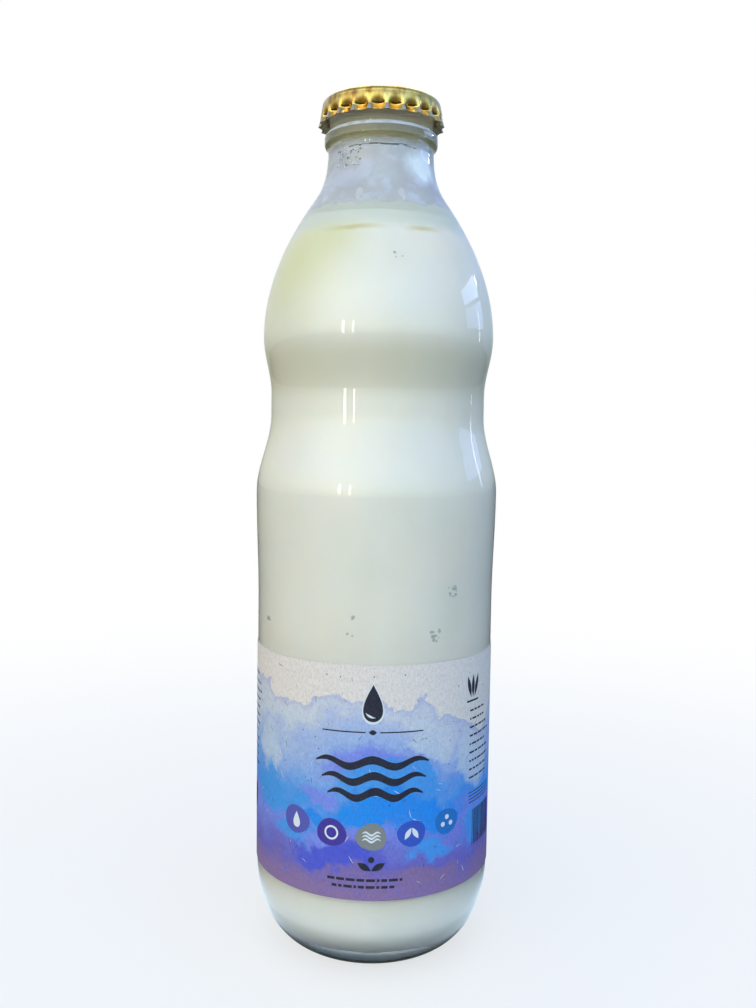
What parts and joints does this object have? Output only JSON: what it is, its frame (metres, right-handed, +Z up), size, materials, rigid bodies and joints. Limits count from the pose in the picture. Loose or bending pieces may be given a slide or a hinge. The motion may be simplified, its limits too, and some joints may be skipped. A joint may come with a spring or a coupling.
{
  "type": "bottle of plain yogurt",
  "caption": "Waisted clear glass bottle filled with plain yogurt, shut by a fluted crown cap, with a paper label wrapped round its lower half.",
  "frame": {"origin": "on the ground, at the centre of the ring that the bottle stands on", "axes": "+Z up along the bottle's axis to the cap, -Y out of the middle of the label's front, +X to the right of someone who faces the label"},
  "size_m": [0.082, 0.082, 0.2842],
  "materials": {
    "glass": "clear and smooth, with a faint green tint",
    "yogurt": "smooth, moist and off-white",
    "cap": "steel sheet with a gold lacquer, smooth",
    "label": "uncoated paper with a blue and violet wash"
  },
  "bodies": {
    "root": {"glass_bottle": "glass", "yogurt": "yogurt", "crown_cap": "cap", "paper_label": "label"}
  },
  "joints": []
}
